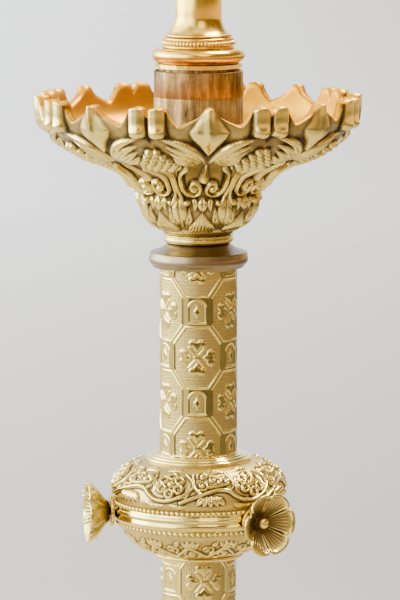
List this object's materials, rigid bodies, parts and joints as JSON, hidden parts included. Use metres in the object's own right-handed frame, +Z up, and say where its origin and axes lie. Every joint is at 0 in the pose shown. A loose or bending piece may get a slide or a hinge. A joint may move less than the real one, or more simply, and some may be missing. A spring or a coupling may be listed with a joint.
{
  "type": "candelabrum",
  "caption": "Church candelabrum in embossed brass: footed base, column with a beaded knop, crown-shaped cast drip pan, and a lift-out branch with drip pans and candle cups.",
  "frame": {"origin": "on the column's axis, in the plane of the feet's soles", "axes": "+Z up along the column; the viewer's side of the picture is -Y"},
  "size_m": [0.2272, 0.2272, 0.6396],
  "materials": {
    "cast_brass": "cast relief, lightly polished, dark in the hollows",
    "embossed_brass": "embossed sheet with polished high spots over a fine matt ground",
    "polished_brass": "polished",
    "aged_brass": "brown-grey patina from heat",
    "dark_bronze": "dark olive patina, turned",
    "steel": "plain turned steel",
    "iron": "rough casting"
  },
  "bodies": {
    "stand": {"foot_1": "cast_brass", "foot_2": "cast_brass", "foot_3": "cast_brass", "base_plinth": "cast_brass", "base_dome": "cast_brass", "base_trumpet": "cast_brass", "knop_core": "cast_brass", "pan_neck_ring": "cast_brass", "drip_pan": "cast_brass", "socket_spacer": "cast_brass", "lower_tube": "embossed_brass", "upper_tube": "embossed_brass", "knop_upper_shell": "embossed_brass", "knop_lower_shell": "embossed_brass", "knop_band": "embossed_brass", "base_bead_ring": "polished_brass", "base_neck_ring": "polished_brass", "rosette_washer_1": "polished_brass", "rosette_washer_2": "polished_brass", "rosette_washer_3": "polished_brass", "candle_socket": "aged_brass", "socket_plug": "aged_brass", "base_cover_plate": "aged_brass", "column_collar": "dark_bronze", "tie_rod": "steel", "base_washer": "steel", "base_nut": "steel", "socket_washer": "steel", "socket_nut": "steel", "base_weight": "iron"},
    "seat": {"seat_ring": "polished_brass"},
    "branch": {"branch_foot_ring": "polished_brass", "branch_bead_ring": "polished_brass", "branch_stem": "polished_brass", "branch_hub": "polished_brass", "arm_1": "polished_brass", "arm_2": "polished_brass", "arm_3": "polished_brass", "arm_4": "polished_brass", "centre_spindle": "polished_brass"},
    "light_1": {"light_1_pan": "polished_brass", "light_1_cup": "polished_brass"},
    "light_2": {"light_2_pan": "polished_brass", "light_2_cup": "polished_brass"},
    "light_3": {"light_3_pan": "polished_brass", "light_3_cup": "polished_brass"},
    "light_4": {"light_4_pan": "polished_brass", "light_4_cup": "polished_brass"},
    "light_centre": {"light_centre_pan": "polished_brass", "light_centre_cup": "polished_brass"},
    "rosette_1": {"rosette_screw_1": "cast_brass"},
    "rosette_2": {"rosette_screw_2": "cast_brass"},
    "rosette_3": {"rosette_screw_3": "cast_brass"}
  },
  "joints": [
    {"name": "branch_turn", "type": "hinge", "parent": "stand", "child": "seat", "pos_m": [0, 0, 0.462], "axis": [0, 0, 1], "continuous": true},
    {"name": "branch_lift", "type": "slide", "parent": "seat", "child": "branch", "axis": [0, 0, 1], "range_m": [0, 0.045]},
    {"name": "light_1_lift", "type": "slide", "parent": "branch", "child": "light_1", "axis": [0, 0, 1], "range_m": [0, 0.03]},
    {"name": "light_2_lift", "type": "slide", "parent": "branch", "child": "light_2", "axis": [0, 0, 1], "range_m": [0, 0.03]},
    {"name": "light_3_lift", "type": "slide", "parent": "branch", "child": "light_3", "axis": [0, 0, 1], "range_m": [0, 0.03]},
    {"name": "light_4_lift", "type": "slide", "parent": "branch", "child": "light_4", "axis": [0, 0, 1], "range_m": [0, 0.03]},
    {"name": "light_centre_lift", "type": "slide", "parent": "branch", "child": "light_centre", "axis": [0, 0, 1], "range_m": [0, 0.03]},
    {"name": "rosette_1_turn", "type": "hinge", "parent": "stand", "child": "rosette_1", "pos_m": [0.02769, -0.03419, 0.256], "axis": [0.6293, -0.7771, 0], "continuous": true},
    {"name": "rosette_2_turn", "type": "hinge", "parent": "stand", "child": "rosette_2", "pos_m": [0.01577, 0.04108, 0.256], "axis": [0.3584, 0.9336, 0], "continuous": true},
    {"name": "rosette_3_turn", "type": "hinge", "parent": "stand", "child": "rosette_3", "pos_m": [-0.04346, -0.00688, 0.256], "axis": [-0.9877, -0.1564, 0], "continuous": true}
  ]
}
